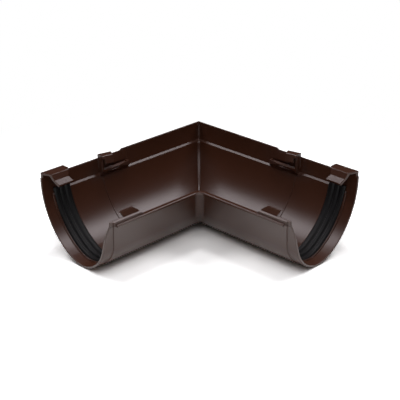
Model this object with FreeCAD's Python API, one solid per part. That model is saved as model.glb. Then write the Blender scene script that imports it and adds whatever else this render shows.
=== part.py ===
# Internal gutter angle: a deep-flow rainwater corner with a snap socket and a ribbed rubber seal at each end
import FreeCAD, Part
import math
import os

V = FreeCAD.Vector

# Driving dimensions in millimetres; each arm is drawn along -X from the corner axis, its back wall towards +Y
arm_end = 198.0            # corner axis to the mouth of a socket
back_face = 62.7           # corner axis to the outside of the end band's back wall
back_radius = 92.3         # back of the trough
back_sweep = 61.8          # degrees that the back curve turns before the floor curve takes over
floor_radius = 41.1        # floor of the trough
front_lean = 16.5          # degrees that the flat front wall leans out
body_step = 1.0            # the body stands proud of the end band by this much
wall = 3.5                 # thickness of the body's wall
end_band = 15.0            # length of the thin band at each mouth

# Heights above the floor that the part stands on
back_curve_level = 87.2    # the back wall is upright above this
corner_ledge_level = 67.5  # shoulder along the back wall near the corner
socket_ledge_level = 70.0  # and in the sockets
corner_back_level = 92.6   # top of the back wall near the corner
socket_back_level = 90.8   # top of the back wall in the sockets
clip_level = 96.8          # top of the clips
rim_level = 67.4           # top of the front wall near the corner
lip_level = 72.5           # top of the front lip of a socket

shoulder = 2.2             # height of the sloping shoulder above the ledge level
back_wall = 1.9            # thickness of the body's back wall above the shoulder
inner_corner_radius = 10.0  # round in the valley of the front walls
crease_radius = 2.0        # round in the crease of the back walls
edge_bevel = 0.4           # along the back wall's top and round the mouth
step_bevel = 0.6           # at the step from the body to the end band
valley_foot = 4.0          # the round has faded out this far above the trough's floor
valley_sink = 0.03         # share of its radius by which the round's ends run into the walls
back_step = (73.5, 76.5)   # the back wall slopes down to its socket height between these places along an arm

# Mouth: the front edge of the end slants back above mouth_slant_level, the body's end slants out to meet it
mouth_slant = 4.2
mouth_slant_level = 50.0
step_slant = 7.3           # from step_slant_level up to the rim's level
step_slant_level = 34.0

# Front lip of a socket and its springy tab; places along an arm are measured from the corner axis
lip_start = 151.5
lip_taper = 6.0            # its end slants down to the rim over this length
lip_slope = 37.5           # degrees that the lip's top falls to the front
lip_inset = 0.4            # its front behind the wall's outside
lip_edge = 0.6             # round of its edges
lip_foot = 4.0             # the lip reaches down into the front wall by this much
tab_base = (149.5, 174.2)
tab_top = (158.3, 177.0)
tab_rise = 6.0
tab_lean = 3.0
tab_wall = 1.8

# Clip at the mouth: down from the top along its face, then out again at the flared foot
clip_span = (162.2, 196.0)
clip_wall = 2.2
clip_radius = 1.7          # round of its bends and of its end towards the corner
clip_face = (50.2, 46.4)   # the face at its top and at its foot
clip_drop = 6.9            # height of the face
clip_flare = (5.2, 5.3)    # the foot reaches forward and down by this much
clip_cuts = (9.0, 6.8)     # the two ends of the clip slant inwards by this much
clip_square = 8.4          # its end towards the corner is square for this much from the back

# Hook with its insertion stop, its hood and the open pocket below them
hook_level = 96.2
hook_radius = 3.0
hook_back = 62.4           # outside of the hook's leg, which stands on the inner half of the back wall
hook_fall = 2.0            # the hook falls towards the corner by this much
hook_span = (91.0, 111.8)  # along its back edge; the end towards the corner slants
tongue_span = (95.5, 108.7)
tongue_reach = 2.4         # the tongue's foot in front of its root
tongue_foot = 85.6
stop_wall = 2.0            # plate that stops a gutter's end
hood_end = 66.5            # the hood runs back into the wall here
hood_level = 79.7          # its lower edge beside the tongue
hood_fall = 2.1            # the edge falls by this much on the way to the wall
hood_reach = 3.0           # the edge in front of the wall
hood_wall = 1.8
pocket_level = 77.4        # lip of the pocket
pocket_wall = 1.4
pocket_depth = 5.2         # behind its lip; from there the floor rises to the back wall
pocket_plan = ((111.8, 53.6), (88.0, 51.6), (67.5, 55.6))  # its front in plan, from the stop to the corner

# Marks inside and the seal
depth_mark_at = 108.4
guide_ridge_at = 184.0
ridge_size = (1.4, 0.9)    # width and height of the guide ridge beside the seal
mark_size = (1.0, 0.5)     # width and height of the insertion mark
seal_span = (158.0, 182.4)
seal_ribs = (6.6, 6.0, 8.2)  # widths of the ribs, from the mouth inwards
seal_seat_depth = 1.4      # groove that the seal lies in
seal_rise = 2.0            # ribs above the trough's inside
rib_shoulder = (0.22, 0.8)  # place and height of a rib's bevels as shares of its width and rise
seal_back_level = 74.6     # the seal's ends
seal_front_level = 62.6
seal_play = 0.2            # clearance of the seal in its seat

# Rim along the front walls from one socket to the other
rim_depth = 3.2            # height of the rim's bead
rim_overhang = 1.9         # the rim's bead outside the wall
rim_radius = 1.5           # of its inner edge
rim_slope = (0.8, 0.6)     # its outer edge is bevelled by this much across and down
rim_end = 186.5

body_end = arm_end - end_band
wall_top = rim_level - rim_radius
inner_grow = body_step - wall
recess_grow = body_step - back_wall
bite = 0.6                 # a fused piece reaches this far into what carries it
small_round = 2.0          # rounds up to this are drawn as bevels
most_of_run = 0.45         # an arc takes at most this share of a run beside it
tiny = 0.01
far = 400.0
centre_back = V(0, back_face - back_radius, back_curve_level)


def ray(degrees):
    angle = math.radians(degrees)
    return V(0, math.cos(angle), -math.sin(angle))


centre_floor = centre_back + ray(back_sweep) * (back_radius - floor_radius)
front_heading = 180.0 - front_lean
front_up = V(0, -math.sin(math.radians(front_lean)), math.cos(math.radians(front_lean)))


def front_start(grow):
    return centre_floor + ray(front_heading) * (floor_radius + grow)


def front_at(grow, level):
    """Y of the front wall's surface at a height, on its flat part or on the floor curve below it."""
    start = front_start(grow)
    if level >= start.z:
        return start.y + (level - start.z) * front_up.y / front_up.z
    drop = centre_floor.z - level
    return centre_floor.y - math.sqrt((floor_radius + grow) ** 2 - drop ** 2)


def back_at(grow, level):
    """Y of the back wall's surface at a height."""
    drop = max(0.0, back_curve_level - level)
    return centre_back.y + math.sqrt((back_radius + grow) ** 2 - drop ** 2)


def trough_curve(grow, back_level, front_level):
    """Edges of the trough's section from the back wall over the floor to the front wall."""
    start = math.degrees(math.asin(max(0.0, back_curve_level - back_level) / (back_radius + grow)))
    first = centre_back + ray(start) * (back_radius + grow)
    turn = centre_back + ray(back_sweep) * (back_radius + grow)
    lift = front_start(grow)
    last = V(0, front_at(grow, front_level), front_level)
    edges = []
    if back_level > back_curve_level:
        edges.append(Part.makeLine(V(0, first.y, back_level), first))
    back_middle = centre_back + ray((start + back_sweep) / 2) * (back_radius + grow)
    floor_middle = centre_floor + ray((back_sweep + front_heading) / 2) * (floor_radius + grow)
    edges.append(Part.Arc(first, back_middle, turn).toShape())
    edges.append(Part.Arc(turn, floor_middle, lift).toShape())
    edges.append(Part.makeLine(lift, last))
    return edges


def first_point(edges):
    return edges[0].firstVertex(True).Point


def last_point(edges):
    return edges[-1].lastVertex(True).Point


def close_face(edges, corners):
    """Face bounded by a chain of edges and the straight runs that lead back to its start."""
    points = [last_point(edges)] + corners + [first_point(edges)]
    runs = [Part.makeLine(a, b) for a, b in zip(points, points[1:])]
    return Part.Face(Part.Wire(edges + runs))


def closed_wire(points):
    return Part.makePolygon(points + points[:1])


def corner_arcs(points, radii):
    """Start, middle and end of an arc in each corner of an outline; short runs make an arc smaller."""
    arcs = []
    for index, corner in enumerate(points):
        before = points[index - 1] - corner
        after = points[(index + 1) % len(points)] - corner
        half = before.getAngle(after) / 2
        reach = min(radii[index] / math.tan(half), most_of_run * before.Length, most_of_run * after.Length)
        before.normalize()
        after.normalize()
        bisector = (before + after).normalize()
        radius = reach * math.tan(half)
        middle = corner + bisector * (radius / math.sin(half) - radius)
        arcs.append((corner + before * reach, middle, corner + after * reach))
    return arcs


def bend(start, middle, end, radius, chords=3):
    """Edges round a corner: an arc, or a few chords where it is small."""
    arc = Part.Arc(start, middle, end).toShape()
    if radius > small_round:
        return [arc]
    points = arc.discretize(chords + 1)
    return [Part.makeLine(a, b) for a, b in zip(points, points[1:])]


def rounded_wire(points, radii):
    """Closed wire with rounded corners."""
    arcs = corner_arcs(points, radii)
    edges = []
    for index, arc in enumerate(arcs):
        edges += bend(*arc, radii[index])
        edges.append(Part.makeLine(arc[2], arcs[(index + 1) % len(arcs)][0]))
    return Part.Wire(edges)


def section(points, radii=None):
    """Face across an arm from (offset to the back, height) pairs, with rounded corners if radii are given."""
    corners = [V(0, y, z) for y, z in points]
    return Part.Face(rounded_wire(corners, radii) if radii else closed_wire(corners))


def along_arm(face, near, end):
    """Extrusion of a section between two distances from the corner axis."""
    moved = face.copy()
    moved.translate(V(-end, 0, 0))
    return moved.extrude(V(end - near, 0, 0))


def between(near, near_points, end, end_points):
    """Ruled solid between two sections of an arm that have the same number of corners."""
    wires = []
    for s, points in ((end, end_points), (near, near_points)):
        wires.append(closed_wire([V(-s, y, z) for y, z in points]))
    return Part.makeLoft(wires, True, True)


def plan_prism(points):
    """Upright prism from (distance along the arm, offset to the back) pairs."""
    return Part.Face(closed_wire([V(-s, y, -far) for s, y in points])).extrude(V(0, 0, 2 * far))


def side_prism(points, front, back):
    """Prism across the arm from (distance along the arm, height) pairs."""
    return Part.Face(closed_wire([V(-s, front, z) for s, z in points])).extrude(V(0, back - front, 0))


def mitre_half():
    """Everything on one arm's side of the mitre plane x = y."""
    corners = [V(-far, -far, -far), V(far, far, -far), V(-far, far, -far)]
    return Part.Face(closed_wire(corners)).extrude(V(0, 0, 2 * far))


def other_arm(shape):
    return shape.mirror(V(0, 0, 0), V(1, -1, 0))


def both_arms(shape):
    return shape.fuse(other_arm(shape))


def edges_along(body, guides):
    """Edges of a body whose middle lies on one of the guide curves."""
    found = []
    for edge in body.Edges:
        middle = Part.Vertex(edge.valueAt((edge.FirstParameter + edge.LastParameter) / 2))
        if any(middle.distToShape(guide)[0] < tiny for guide in guides):
            found.append(edge)
    return found


def valley_section(v, level, radius, share=1.0):
    """Plan of a round where two walls meet at x = y = v; its ends run a little way into them."""
    inside = v + bite
    reach = radius * share
    centre = v - reach * (1 - valley_sink)
    tip = centre + reach
    middle = centre + reach * math.sqrt(0.5)
    corner = bend(V(centre, tip, level), V(middle, middle, level), V(tip, centre, level), radius, 2)
    points = [V(tip, centre, level), V(inside, centre, level), V(inside, inside, level),
              V(centre, inside, level), V(centre, tip, level)]
    runs = [Part.makeLine(a, b) for a, b in zip(points, points[1:])]
    return Part.Wire(corner + runs)


def valley_round(grow, radius, top):
    """Round of the valley: steady on the flat front walls, fading out over the floor curve."""
    turn = front_start(grow).z
    low = centre_floor.z - (floor_radius + grow) + valley_foot
    least = 0.1
    steps = 5
    steady = [valley_section(front_at(grow, level), level, radius) for level in (top, turn)]
    fading = []
    for i in range(steps + 1):
        share = i / steps
        level = turn + (low - turn) * share
        fading.append(valley_section(front_at(grow, level), level, radius, 1 - (1 - least) * share))
    return Part.makeLoft(steady, True, True).fuse(Part.makeLoft(fading, True, False))


def crease_round():
    """Round of the crease between the back walls, above the ledge, over the shoulder and down the trough."""
    steps = 4
    shoulder_top = corner_ledge_level + shoulder
    low = centre_floor.z
    upper = []
    lower = []
    for i in range(steps + 1):
        share = i / steps
        level = back_curve_level + (shoulder_top - back_curve_level) * share
        upper.append(valley_section(back_at(recess_grow, level), level, crease_radius))
        level = corner_ledge_level + (low - corner_ledge_level) * share
        lower.append(valley_section(back_at(inner_grow, level), level, crease_radius))
    top = valley_section(back_at(recess_grow, corner_back_level), corner_back_level, crease_radius)
    solids = [Part.makeLoft(upper, True, False), Part.makeLoft(lower, True, False)]
    for ends in ((top, upper[0]), (upper[-1], lower[0])):
        solids.append(Part.makeLoft(list(ends), True, True))
    return solids


def step_cut():
    """What is cleared off the body's end: upright at the back, slanting out up the front wall."""
    top = step_slant_level + 2 * (rim_level - step_slant_level)
    end = body_end + 2 * step_slant
    slant = [(body_end, step_slant_level), (end, top), (end, -far), (body_end, -far)]
    upright = [(body_end, far), (end, far), (end, -far), (body_end, -far)]
    front = front_at(body_step, lip_level) - wall
    return side_prism(slant, front, bite).fuse(side_prism(upright, 0, far))


def trough_outside():
    solids = []
    for grow, near, end in ((body_step, -far, body_end + step_slant), (0, body_end - bite, arm_end)):
        edges = trough_curve(grow, corner_back_level, wall_top)
        face = close_face(edges, [V(0, 0, wall_top), V(0, 0, corner_back_level)])
        solids.append(along_arm(face, near, end))
    return solids[0].cut(step_cut()).fuse(solids[1]).common(mitre_half())


def trough_inside():
    clear = clip_level
    trough = along_arm(close_face(trough_curve(inner_grow, clear, clear), []), -far, arm_end + bite)
    change = pocket_plan[0][0] - stop_wall / 2
    corner = back_recess(clear, corner_ledge_level, -far, change)
    socket = back_recess(clear, socket_ledge_level, change, body_end)
    return trough.fuse([corner, socket]).common(mitre_half())


def back_recess(clear, ledge_level, near, end):
    """Space above a stretch of the ledge, where the back wall is thinner than the trough."""
    reach = back_radius + recess_grow
    top = centre_back.y + reach
    turn = math.degrees(math.asin((back_curve_level - ledge_level - shoulder) / reach))
    foot = centre_back + ray(turn) * reach
    arc = Part.Arc(V(0, top, back_curve_level), centre_back + ray(turn / 2) * reach, foot).toShape()
    open_at = back_at(inner_grow, ledge_level) - wall
    corners = [V(0, back_at(inner_grow, ledge_level), ledge_level), V(0, open_at, ledge_level),
               V(0, open_at, clear), V(0, top, clear)]
    return along_arm(close_face([arc], corners), near, end)


def socket_drop():
    """What is cleared off the top of the back wall from its sloping step to the mouth."""
    high, low = back_step
    outline = [(high, far), (high, corner_back_level), (low, socket_back_level),
               (arm_end + bite, socket_back_level), (arm_end + bite, far)]
    return side_prism(outline, 0, back_face + body_step + bite)


def mouth_cut():
    """Slant of the mouth's front edge."""
    rise = lip_level - mouth_slant_level
    top = mouth_slant_level + 2 * rise
    outline = [(arm_end, mouth_slant_level), (arm_end + bite, mouth_slant_level), (arm_end + bite, top),
               (arm_end - 2 * mouth_slant, top)]
    return side_prism(outline, front_at(0, lip_level) - wall, centre_floor.y)


def ring(grow_out, grow_in, near, end, back_level, front_level):
    """Layer that follows the trough's section between two distances from the corner."""
    outer = trough_curve(grow_out, back_level, front_level)
    inner = trough_curve(grow_in, back_level, front_level)
    front_cap = Part.makeLine(last_point(outer), last_point(inner))
    back_cap = Part.makeLine(first_point(inner), first_point(outer))
    return along_arm(Part.Face(Part.Wire(outer + [front_cap] + inner[::-1] + [back_cap])), near, end)


def inside_bead(place, size, back_level):
    """Fine bead across the trough's inside."""
    width, height = size
    return ring(inner_grow + bite, inner_grow - height, place - width / 2, place + width / 2,
                back_level - bite, wall_top - bite)


def front_lip():
    """Raised front edge of a socket, its top falling to the front; its end slants down to the rim."""
    foot = rim_level - lip_foot
    inner = front_at(inner_grow, rim_level)
    fall = math.tan(math.radians(lip_slope))
    low_end = lip_start - lip_taper
    step_end = body_end + step_slant - bite
    solids = []
    for grow, near, end in ((body_step, low_end, step_end), (0, step_end - bite, arm_end)):
        front = front_at(grow, rim_level) + lip_inset
        points = [(inner, foot), (inner, lip_level), (front, lip_level - fall * (inner - front)),
                  (front, rim_level), (front_at(grow, foot) + lip_inset, foot)]
        solids.append(along_arm(section(points, [lip_edge] * len(points)), near, end))
    taper = [(lip_start, lip_level), (lip_start, far), (low_end - bite, far), (low_end - bite, rim_level),
             (low_end, rim_level)]
    return solids[0].fuse(solids[1]).cut(side_prism(taper, inner - 2 * wall, inner + wall))


def front_tab():
    """Springy tab on the lip that leans in over the gutter's front edge."""
    root = front_at(inner_grow, rim_level)
    tip = root + tab_lean
    top = lip_level + tab_rise
    sunk = lip_level - tab_wall - bite
    plate = along_arm(section([(root - tab_wall, sunk), (root, sunk), (tip, top), (tip - tab_wall, top)]),
                      tab_base[0], tab_top[1])
    outline = [
        (tab_base[0], sunk),
        (tab_base[1], sunk),
        (tab_base[1], lip_level),
        (tab_top[1], top - lip_edge),
        (tab_top[1] - lip_edge, top),
        (tab_top[0], top),
        (tab_base[0] + tab_wall, lip_level + lip_edge),
    ]
    return plate.common(side_prism(outline, root - tab_wall, tip))


def end_clip():
    """Clip at the mouth: up from the back wall, over, down its face and out again at the flared foot."""
    out = back_face + body_step
    wall_in = back_face + inner_grow
    base = socket_back_level - clip_wall
    under = clip_level - clip_wall
    foot = clip_level - clip_drop
    face_top, face_foot = clip_face
    reach, fall = clip_flare
    tip = (face_foot - reach, foot - fall)
    tip_in = (tip[0] + clip_wall / 2, tip[1] - clip_wall)
    skin = [(out, tip_in[1]), (out, clip_level), (face_top, clip_level), (face_foot, foot), tip, tip_in]
    hollow = [
        tip_in,
        (face_foot + clip_wall, foot - clip_wall / 2),
        (face_top + clip_wall, under),
        (wall_in, under),
        (wall_in, base),
        (out + bite, base),
        (out + bite, tip_in[1] - bite),
        (tip_in[0], tip_in[1] - bite),
    ]
    near, end = clip_span
    mouth_cut_in, corner_cut_in = clip_cuts
    straight = out - clip_square
    plan = [
        (near, out + bite),
        (end, out + bite),
        (end, out - clip_radius - bite),
        (end - mouth_cut_in, tip[0] - bite),
        (near + corner_cut_in / 2, tip[0] - bite),
        (near + corner_cut_in, face_foot),
        (near, straight),
    ]
    clip = along_arm(section(skin), near, end).common(plan_prism(plan))
    guides = [Part.makeLine(V(-near, y, z), V(-end, y, z)) for y, z in skin[2:4]]
    corner_end = [(near, out), (near, straight), (near + corner_cut_in, face_foot)]
    guides.append(Part.makePolygon([V(-s, y, clip_level) for s, y in corner_end]))
    clip = clip.makeFillet(clip_radius, edges_along(clip, guides))
    edge = Part.makeLine(V(-near, *tip), V(-end, *tip))
    clip = clip.makeFillet(lip_edge, edges_along(clip, [edge]))
    return clip.cut(along_arm(section(hollow), near - bite, end + bite))


def pocket_outline(inset):
    """Plan of the pocket between its bowed front and the back wall."""
    behind = back_at(recess_grow, pocket_level) + bite
    front = [(s, y + inset) for s, y in pocket_plan]
    return [(front[0][0], behind)] + front + [(front[-1][0], behind)]


def pocket_section(top):
    """Section whose underside slopes out from the ledge to the pocket's lip and that is upright above it."""
    low = corner_ledge_level - bite
    ledge = back_at(inner_grow, corner_ledge_level)
    lip = min(y for s, y in pocket_plan)
    slope = (ledge - lip) / (pocket_level - corner_ledge_level)
    behind = back_at(recess_grow, low) + bite
    return section([(ledge + slope * bite, low), (lip, pocket_level), (lip, top),
                    (behind, top), (behind, low)])


def pocket_hollow():
    """Section of the space behind the pocket's lip, with a floor that rises to the back wall."""
    lip = min(y for s, y in pocket_plan) + pocket_wall
    behind = back_at(recess_grow, pocket_level) + bite
    top = pocket_level + bite
    return section([(lip, pocket_level - pocket_depth), (lip, top), (behind, top), (behind, pocket_level)])


def pocket():
    """Open pocket on the ledge, closed towards the mouth by the plate that stops a gutter's end."""
    end = pocket_plan[0][0]
    near = pocket_plan[-1][0]
    block = along_arm(pocket_section(pocket_level), near, end)
    block = block.common(plan_prism(pocket_outline(0)))
    hollow = along_arm(pocket_hollow(), near + 2 * pocket_wall, end - stop_wall)
    block = block.cut(hollow.common(plan_prism(pocket_outline(pocket_wall))))
    plate = along_arm(pocket_section(hook_level - clip_wall), end - stop_wall, end)
    return block.fuse(plate.common(plan_prism(pocket_outline(0))))


def hook_section(foot):
    """Hook over the pocket: a leg on the wall, a top, and a tongue that hangs from its front."""
    root = pocket_plan[0][1]
    leg = hook_back - clip_wall
    under = hook_level - clip_wall
    points = [
        (leg, pocket_level),
        (hook_back, pocket_level),
        (hook_back, hook_level),
        (root, hook_level),
        (root - tongue_reach, foot),
        (root - tongue_reach + clip_wall, foot),
        (root + clip_wall, under),
        (leg, under),
    ]
    small = lip_edge
    return section(points, [small, small, small, hook_radius, small, small, small, small])


def stop_hook():
    """The hook's top from the stop plate inwards, its tongue, and the hood that runs back into the wall."""
    near, end = hook_span
    tongue_near, tongue_end = tongue_span
    root = pocket_plan[0][1]
    front = root - wall
    roof_near = tongue_end - bite
    roof_plan = [(end, hook_back), (end, front), (roof_near, front), (roof_near, hook_back)]
    tongue_plan = [(tongue_end, hook_back), (tongue_end, front), (tongue_near, front), (tongue_near, root),
                   (near, hook_back)]
    hook = hood()
    for foot, plan in ((hook_level - 2 * clip_wall, roof_plan), (tongue_foot, tongue_plan)):
        piece = along_arm(hook_section(foot), near - wall, end + wall)
        piece.rotate(V(-end, 0, hook_level), V(0, 1, 0), math.degrees(math.atan2(hook_fall, end - near)))
        hook = hook.fuse(piece.common(plan_prism(plan)))
    return hook


def hood():
    """Plate from the tongue's side to the back wall, steep and close in front of the wall."""
    end = tongue_span[0] + bite
    top = socket_back_level - bite
    low = hood_level - hood_fall
    inside = hook_back - bite
    front = inside - hood_reach
    at_tongue = [(hook_back, top), (inside, top), (front, hood_level), (front + hood_wall, hood_level),
                 (hook_back, top - hood_wall)]
    at_wall = [(hook_back, top), (inside, top), (inside - bite, low), (inside, low),
               (hook_back, top - hood_wall)]
    return between(hood_end, at_wall, end, at_tongue)


def corner_rim():
    """Bead along the front walls from one socket to the other, bent round the inner corner."""
    v = front_at(body_step, rim_level)
    tip = v - inner_corner_radius
    middle = v - inner_corner_radius * (1 - math.sqrt(0.5))
    end = -rim_end
    path = Part.Wire([
        Part.makeLine(V(end, v, rim_level), V(tip, v, rim_level)),
        Part.Arc(V(tip, v, rim_level), V(middle, middle, rim_level), V(v, tip, rim_level)).toShape(),
        Part.makeLine(V(v, tip, rim_level), V(v, end, rim_level)),
    ])
    inner = front_at(inner_grow, rim_level) - v
    low_inner = front_at(inner_grow, rim_level - rim_depth) - v
    across, fall = rim_slope
    profile = [(inner, 0), (across - rim_overhang, 0), (-rim_overhang, -fall), (-rim_overhang, -rim_depth),
               (low_inner, -rim_depth)]
    corners = [V(end, v + y, rim_level + z) for y, z in profile]
    outline = rounded_wire(corners, [rim_radius] + [edge_bevel / 2] * (len(corners) - 1))
    return path.makePipeShell([outline], True, False)


def seal():
    """Rubber strip with rounded ribs, lying in its groove round the socket."""
    near, end = seal_span
    seat = inner_grow + seal_seat_depth
    path = Part.Wire(trough_curve(seat, seal_back_level - seal_play, seal_front_level - seal_play))
    start = first_point(path.Edges)
    angle = math.asin((back_curve_level - start.z) / (back_radius + seat))
    inward = V(0, -math.cos(angle), math.sin(angle))

    def at(s, rise):
        return V(-s, start.y, start.z) + inward * rise

    place, height = rib_shoulder
    rib_shape = [(0, 0), (place, height), (0.5, 1), (1 - place, height), (1, 0)]
    s = end - seal_play
    gap = (end - near - 2 * seal_play - sum(seal_ribs)) / (len(seal_ribs) - 1)
    edges = [Part.makeLine(at(s, 0), at(s, seal_seat_depth))]
    for index, rib in enumerate(seal_ribs):
        if index:
            edges.append(Part.makeLine(at(s, seal_seat_depth), at(s - gap, seal_seat_depth)))
            s -= gap
        for a, b in zip(rib_shape, rib_shape[1:]):
            edges.append(Part.makeLine(at(s - rib * a[0], seal_seat_depth + seal_rise * a[1]),
                                       at(s - rib * b[0], seal_seat_depth + seal_rise * b[1])))
        s -= rib
    edges.append(Part.makeLine(at(s, seal_seat_depth), at(s, 0)))
    edges.append(Part.makeLine(at(s, 0), at(end - seal_play, 0)))
    path.translate(V(seal_play - end, 0, 0))
    return path.makePipeShell([Part.Wire(edges)], True, False)


def top_edges(body):
    """Edges along the top of the back walls, from the crease to the end bands."""
    found = []
    for edge in body.Edges:
        low = min(vertex.Z for vertex in edge.Vertexes)
        middle = edge.CenterOfMass
        along_walls = edge.Length > back_wall + tiny
        if low > socket_back_level - tiny and along_walls and min(middle.x, middle.y) > tiny - body_end:
            found.append(edge)
    return found


def bevel_edges(body):
    """Body with its small bevels: the back walls' top, the mouths and the steps to the end bands."""
    def curves(grow, s):
        curve = Part.Compound(trough_curve(grow, socket_back_level, wall_top))
        curve.translate(V(-s, 0, 0))
        return [curve, other_arm(curve)]

    body = body.makeChamfer(edge_bevel, top_edges(body))
    body = body.makeChamfer(edge_bevel, edges_along(body, curves(0, arm_end) + curves(inner_grow, arm_end)))
    return body.makeChamfer(step_bevel, edges_along(body, curves(body_step, body_end)))


def gutter_angle():
    outside = both_arms(trough_outside()).fuse(valley_round(body_step, inner_corner_radius, wall_top))
    inside = both_arms(trough_inside())
    inside = inside.fuse(valley_round(inner_grow, inner_corner_radius + wall, clip_level))
    body = outside.cut(inside).fuse(crease_round()).cut(both_arms(socket_drop())).removeSplitter()
    body = bevel_edges(body)
    for feature in (front_lip(), end_clip(), pocket(), stop_hook(),
                    inside_bead(guide_ridge_at, ridge_size, socket_ledge_level),
                    inside_bead(depth_mark_at, mark_size, corner_ledge_level)):
        body = body.fuse(both_arms(feature))
    seat_grow = inner_grow + seal_seat_depth
    seat = ring(seat_grow, inner_grow - wall, *seal_span, seal_back_level, seal_front_level)
    body = body.cut(both_arms(seat))
    body = body.fuse(both_arms(front_tab())).fuse(corner_rim()).cut(both_arms(mouth_cut()))
    return body.removeSplitter()


def main():
    middle = (arm_end - back_face - body_step) / 2
    lowest = centre_floor.z - floor_radius - body_step
    shift = V(middle, middle, -lowest)
    strip = seal()
    nodes = {"gutter_angle": gutter_angle(), "seal_left": strip, "seal_right": other_arm(strip)}
    os.makedirs("parts", exist_ok=True)
    for name, shape in nodes.items():
        placed = shape.copy()
        placed.translate(shift)
        solid = placed.Solids[0]
        box = solid.optimalBoundingBox()
        print(name, "solids", len(placed.Solids), "valid", solid.isValid(), "volume", round(solid.Volume),
              "x %.2f to %.2f" % (box.XMin, box.XMax), "z %.2f to %.2f" % (box.ZMin, box.ZMax))
        solid.exportStep("parts/%s.step" % name)


main()
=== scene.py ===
import math

import bmesh
import bpy
from mathutils import Matrix, Vector


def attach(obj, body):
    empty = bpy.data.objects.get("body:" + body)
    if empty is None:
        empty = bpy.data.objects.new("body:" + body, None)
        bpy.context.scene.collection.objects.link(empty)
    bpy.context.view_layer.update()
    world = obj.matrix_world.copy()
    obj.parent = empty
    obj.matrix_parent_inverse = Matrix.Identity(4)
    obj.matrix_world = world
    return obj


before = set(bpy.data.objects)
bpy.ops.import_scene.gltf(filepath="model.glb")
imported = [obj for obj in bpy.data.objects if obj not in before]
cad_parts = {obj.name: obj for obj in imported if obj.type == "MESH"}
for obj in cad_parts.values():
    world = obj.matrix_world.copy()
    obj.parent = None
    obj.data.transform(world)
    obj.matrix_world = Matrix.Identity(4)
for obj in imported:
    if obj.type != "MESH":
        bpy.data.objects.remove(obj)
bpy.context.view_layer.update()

mm = 0.001


def hexToLinear(code):
    # sRGB hex as picked from a colour chart, to the linear values that the shaders take
    channels = [int(code[i:i + 2], 16) / 255 for i in (1, 3, 5)]
    linear = [c / 12.92 if c <= 0.04045 else ((c + 0.055) / 1.055) ** 2.4 for c in channels]
    return (*linear, 1.0)


def addNode(tree, kind, inputs=None, links=None, **settings):
    # one node with its settings, its fixed inputs and the sockets that feed it
    node = tree.nodes.new(kind)
    for name, value in settings.items():
        setattr(node, name, value)
    for name, value in (inputs or {}).items():
        node.inputs[name].default_value = value
    for name, source in (links or {}).items():
        tree.links.new(source, node.inputs[name])
    return node


def newMaterial(name):
    material = bpy.data.materials.new(name)
    material.use_nodes = True
    material.node_tree.nodes.clear()
    return material, material.node_tree


def noiseScale(sizeMm):
    # noise scale that gives patches of about this size, the coordinates being in metres
    return 1.0 / (sizeMm * mm)


# Rigid PVC, injection moulded in a lightly spark-eroded tool: a deep brown with a satin skin that
# spreads the studio lamps into soft streaks and lets a trace of flow marks through
brownPvc = {
    "colour": "#46281a",
    "flowColour": "#412417",      # where the melt ran a touch darker
    "ior": 1.5,
    "roughness": (0.26, 0.33),    # from one flow mark to the next
    "flowSize": 45.0,             # mm
    "flowDetail": 4.0,
    "skinSize": 1.2,              # mm, the real skin is nearer 0.2 and would not show
    "skinDetail": 2.0,
    "skinDepth": 0.012,           # mm
    "edge": 0.7,                  # mm, radius that the mould leaves on every edge
    "edgeSamples": 8,
}


def mouldedPvc():
    material, tree = newMaterial("brownPvcMoulded")
    place = addNode(tree, "ShaderNodeTexCoord").outputs["Object"]
    flow = addNode(tree, "ShaderNodeTexNoise",
                   {"Scale": noiseScale(brownPvc["flowSize"]), "Detail": brownPvc["flowDetail"]},
                   {"Vector": place}).outputs["Fac"]
    skin = addNode(tree, "ShaderNodeTexNoise",
                   {"Scale": noiseScale(brownPvc["skinSize"]), "Detail": brownPvc["skinDetail"]},
                   {"Vector": place}).outputs["Fac"]
    colour = addNode(tree, "ShaderNodeMix",
                     {6: hexToLinear(brownPvc["colour"]), 7: hexToLinear(brownPvc["flowColour"])},
                     {0: flow}, data_type="RGBA")   # 0 is the factor, 6 and 7 are the two colours
    low, high = brownPvc["roughness"]
    rough = addNode(tree, "ShaderNodeMapRange", {"To Min": low, "To Max": high}, {"Value": flow})
    edge = addNode(tree, "ShaderNodeBevel", {"Radius": brownPvc["edge"] * mm},
                   samples=brownPvc["edgeSamples"])
    bump = addNode(tree, "ShaderNodeBump", {"Strength": 1.0, "Distance": brownPvc["skinDepth"] * mm},
                   {"Height": skin, "Normal": edge.outputs["Normal"]})
    shader = addNode(tree, "ShaderNodeBsdfPrincipled", {"IOR": brownPvc["ior"]},
                     {"Base Color": colour.outputs[2], "Roughness": rough.outputs["Result"],
                      "Normal": bump.outputs["Normal"]})
    addNode(tree, "ShaderNodeOutputMaterial", None, {"Surface": shader.outputs["BSDF"]})
    return material


# EPDM rubber, extruded and cured: near black and dull, with a faint grain that breaks up the light
blackRubber = {
    "colour": "#0b0b0c",
    "ior": 1.38,
    "roughness": 0.55,
    "grainSize": 1.0,             # mm
    "grainDetail": 3.0,
    "grainDepth": 0.02,           # mm
}


def extrudedRubber():
    material, tree = newMaterial("epdmExtruded")
    place = addNode(tree, "ShaderNodeTexCoord").outputs["Object"]
    grain = addNode(tree, "ShaderNodeTexNoise",
                    {"Scale": noiseScale(blackRubber["grainSize"]), "Detail": blackRubber["grainDetail"]},
                    {"Vector": place}).outputs["Fac"]
    bump = addNode(tree, "ShaderNodeBump",
                   {"Strength": 1.0, "Distance": blackRubber["grainDepth"] * mm}, {"Height": grain})
    shader = addNode(tree, "ShaderNodeBsdfPrincipled",
                     {"Base Color": hexToLinear(blackRubber["colour"]), "IOR": blackRubber["ior"],
                      "Roughness": blackRubber["roughness"]}, {"Normal": bump.outputs["Normal"]})
    addNode(tree, "ShaderNodeOutputMaterial", None, {"Surface": shader.outputs["BSDF"]})
    return material


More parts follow.
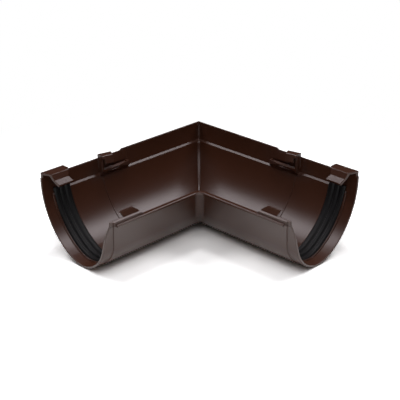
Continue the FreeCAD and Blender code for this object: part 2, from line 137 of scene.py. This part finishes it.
def dressNode(name, material):
    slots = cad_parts[name].data.materials
    slots.clear()
    slots.append(material)


pvc = mouldedPvc()
rubber = extrudedRubber()
dressNode("gutter_angle", pvc)
for seal in ("seal_left", "seal_right"):
    dressNode(seal, rubber)
print("dressed the moulding and its seals")


def loft(name, rings, smooth):
    # closed skin over rings of points in mm, the first few strips of every ring smooth
    ring = len(rings[0])
    faces = []
    for row in range(len(rings) - 1):
        below = row * ring
        above = below + ring
        for i in range(ring):
            after = (i + 1) % ring
            faces.append((below + i, below + after, above + after, above + i))
    sides = len(faces)
    faces.append(tuple(range(ring)))
    faces.append(tuple(range((len(rings) - 1) * ring, len(rings) * ring)))
    mesh = bpy.data.meshes.new(name)
    mesh.from_pydata([Vector(point) * mm for points in rings for point in points], [], faces)
    mesh.polygons.foreach_set("use_smooth", [i < sides and i % ring < smooth for i in range(len(faces))])
    shape = bmesh.new()
    shape.from_mesh(mesh)
    bmesh.ops.recalc_face_normals(shape, faces=shape.faces)
    shape.to_mesh(mesh)
    shape.free()
    mesh.materials.append(pvc)
    piece = bpy.data.objects.new(name, mesh)
    bpy.context.scene.collection.objects.link(piece)
    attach(piece, "root")


# Inside of the trough as the solid has it, in mm: across the left arm, and up
trough = {
    "backCentre": (37.55, 87.22),
    "backRadius": 89.8,
    "floorCentre": (61.75, 42.1),
    "floorRadius": 38.6,
    "turn": 61.8,                 # degrees below level, where one arc goes over into the other
    "frontTurn": 163.5,           # where the front wall runs off straight
}

# The crease of the back walls is a small round in the mould, which the solid draws as two flats.
# This sliver lies over them, so that the lamps draw their line of light down the corner
creaseRound = {
    "levels": (9.5, 67.2),        # mm
    "fullFrom": 24.0,             # mm, below this the round dies out towards the floor
    "radius": 3.0,                # mm
    "thinnest": 0.2,              # share of the radius that is left at the bottom
    "behind": 0.3,                # mm into the wall
    "steps": (28, 10),            # up the crease and round it
}


def creaseSliver():
    low, high = creaseRound["levels"]
    across, up = trough["backCentre"]
    rows, turns = creaseRound["steps"]
    thinnest = creaseRound["thinnest"]
    angles = [math.pi / 2 * step / turns for step in range(turns + 1)]
    rings = []
    for row in range(rows + 1):
        level = low + (high - low) * row / rows
        wall = across + math.sqrt(trough["backRadius"] ** 2 - (up - level) ** 2)
        grown = (level - low) / (creaseRound["fullFrom"] - low)
        radius = creaseRound["radius"] * min(1.0, thinnest + (1.0 - thinnest) * grown)
        centre = wall - radius
        behind = wall + creaseRound["behind"]
        ring = [(centre + radius * math.cos(a), centre + radius * math.sin(a), level) for a in angles]
        rings.append(ring + [(behind, behind, level)])
    loft("creaseRound", rings, turns)


# Guide ridge beside each seal: the solid's is square, the mould's is a half round that draws a thin
# line of light
guideRidge = {
    "place": -116.85,             # mm along the arm
    "size": (1.2, 1.4),           # mm, half its width and its height
    "sunk": 0.1,                  # mm into the wall
    "angles": (11.6, 170.0),      # degrees below level, from under the back ledge past the front turn
    "steps": (60, 8),             # along the ridge and over it
}


def guideBead(name, mirrored):
    half, height = guideRidge["size"]
    first, last = guideRidge["angles"]
    rows, turns = guideRidge["steps"]
    rings = []
    for row in range(rows + 1):
        angle = first + (last - first) * row / rows
        part = "back" if angle < trough["turn"] else "floor"
        aim = math.radians(min(angle, trough["frontTurn"]))
        across, up = trough[part + "Centre"]
        radius = trough[part + "Radius"]
        foot = Vector((across + radius * math.cos(aim), up - radius * math.sin(aim)))
        inward = Vector((-math.cos(aim), math.sin(aim)))
        ring = []
        for step in range(turns + 1):
            over = math.pi * step / turns
            side = foot + inward * (height * math.sin(over) - guideRidge["sunk"])
            ring.append((guideRidge["place"] + half * math.cos(over), side.x, side.y))
        rings.append([(y, x, z) for x, y, z in ring] if mirrored else ring)
        if angle >= trough["frontTurn"]:
            break                 # the ridge ends at the foot of the front wall
    loft(name, rings, turns)


creaseSliver()
guideBead("guideRidgeLeft", False)
guideBead("guideRidgeRight", True)
print("rounded the crease and the guide ridges")

# Studio: white paper underneath, a soft box high at each side, a wide one over the camera and a
# small one overhead, in a dim room
studio = {
    "paper": "#f0f5f2",
    "paperLift": 2.2,             # the paper is seen this much brighter, white up to the shadow
    "floorSize": 12.0,            # metres, as the other lengths here
    "whiteOut": (0.22, 0.5),      # from the middle, where the paper goes over into plain white
    "backdrop": "#ffffff",
    "roomLight": 0.04,
    "lampColour": "#fff9fd",      # a trace of violet, as flash tubes have
}
sightAzimuth = 45.0               # the line of sight runs along the mitre
# azimuth in degrees from the line of sight, positive to the right
softBoxes = {
    "right": {"azimuth": 66.0, "elevation": 51.0, "distance": 1.4, "side": 0.5, "radiance": 6.6},
    "left": {"azimuth": -66.0, "elevation": 51.0, "distance": 1.4, "side": 0.5, "radiance": 6.0},
    "front": {"azimuth": 180.0, "elevation": 60.0, "distance": 1.8, "side": 1.3, "radiance": 1.9},
    "overhead": {"azimuth": 0.0, "elevation": 77.0, "distance": 1.8, "side": 0.4, "radiance": 12.0},
}


def paperFloor():
    side = studio["floorSize"] / 2
    corners = [(-side, -side, 0), (side, -side, 0), (side, side, 0), (-side, side, 0)]
    mesh = bpy.data.meshes.new("paperFloor")
    mesh.from_pydata(corners, [], [(0, 1, 2, 3)])
    floor = bpy.data.objects.new("paperFloor", mesh)
    bpy.context.scene.collection.objects.link(floor)
    material, tree = newMaterial("whitePaperMatt")
    plain = hexToLinear(studio["paper"])
    lifted = [c * studio["paperLift"] for c in plain[:3]] + [1.0]
    path = addNode(tree, "ShaderNodeLightPath").outputs
    mirrored = addNode(tree, "ShaderNodeMath", None,
                       {0: path["Is Glossy Ray"], 1: path["Is Transmission Ray"]}, operation="MAXIMUM")
    direct = addNode(tree, "ShaderNodeMath", None,
                     {0: path["Is Camera Ray"], 1: mirrored.outputs[0]}, operation="MAXIMUM")
    seen = addNode(tree, "ShaderNodeMix", {6: plain, 7: lifted}, {0: direct.outputs[0]}, data_type="RGBA")
    paper = addNode(tree, "ShaderNodeBsdfDiffuse", None, {"Color": seen.outputs[2]})
    white = addNode(tree, "ShaderNodeEmission", {"Strength": 1.0})
    place = addNode(tree, "ShaderNodeTexCoord").outputs["Object"]
    reach = addNode(tree, "ShaderNodeVectorMath", None, {0: place}, operation="LENGTH").outputs["Value"]
    near, far = studio["whiteOut"]
    fade = addNode(tree, "ShaderNodeMapRange", {"From Min": near, "From Max": far},
                   {"Value": reach, "To Max": direct.outputs[0]}, interpolation_type="SMOOTHSTEP")
    surface = addNode(tree, "ShaderNodeMixShader", None,
                      {0: fade.outputs["Result"], 1: paper.outputs[0], 2: white.outputs[0]})
    addNode(tree, "ShaderNodeOutputMaterial", None, {"Surface": surface.outputs[0]})
    mesh.materials.append(material)


def softBox(name, facts):
    turn = math.radians(sightAzimuth - facts["azimuth"])
    rise = math.radians(facts["elevation"])
    heading = Vector((math.cos(turn) * math.cos(rise), math.sin(turn) * math.cos(rise), math.sin(rise)))
    lamp = bpy.data.lights.new(name, "AREA")
    lamp.shape = "SQUARE"
    lamp.size = facts["side"]
    lamp.color = hexToLinear(studio["lampColour"])[:3]
    lamp.energy = facts["radiance"] * math.pi * facts["side"] ** 2
    box = bpy.data.objects.new(name, lamp)
    box.location = heading * facts["distance"]
    box.rotation_euler = heading.to_track_quat("Z", "Y").to_euler()
    bpy.context.scene.collection.objects.link(box)


def room():
    world = bpy.data.worlds.new("dimRoom")
    world.use_nodes = True
    tree = world.node_tree
    tree.nodes.clear()
    path = addNode(tree, "ShaderNodeLightPath")
    level = addNode(tree, "ShaderNodeMapRange", {"To Min": studio["roomLight"], "To Max": 1.0},
                    {"Value": path.outputs["Is Camera Ray"]})
    back = addNode(tree, "ShaderNodeBackground", {"Color": hexToLinear(studio["backdrop"])},
                   {"Strength": level.outputs["Result"]})
    addNode(tree, "ShaderNodeOutputWorld", None, {"Surface": back.outputs[0]})
    bpy.context.scene.world = world


paperFloor()
for name, facts in softBoxes.items():
    softBox("softBox" + name.capitalize(), facts)
room()
bpy.context.scene.view_settings.view_transform = "Standard"
print("lit the studio")

# Camera: long lens well above the rim, looking along the mitre
shot = {
    "lens": 90.0,                 # mm
    "sensor": 36.0,               # mm
    "place": (-0.7564, -0.7466, 0.5446),
    "aim": (0.0745, 0.0732, 0.0143),
    "roll": -0.163,               # degrees
}


def takePlace():
    lens = bpy.data.cameras.new("shot")
    lens.lens = shot["lens"]
    lens.sensor_width = shot["sensor"]
    camera = bpy.data.objects.new("shot", lens)
    place = Vector(shot["place"])
    look = (Vector(shot["aim"]) - place).to_track_quat("-Z", "Y").to_matrix()
    turn = look @ Matrix.Rotation(math.radians(shot["roll"]), 3, "Z")
    camera.location = place
    camera.rotation_euler = turn.to_euler()
    bpy.context.scene.collection.objects.link(camera)
    bpy.context.scene.camera = camera


takePlace()
print("set the camera")
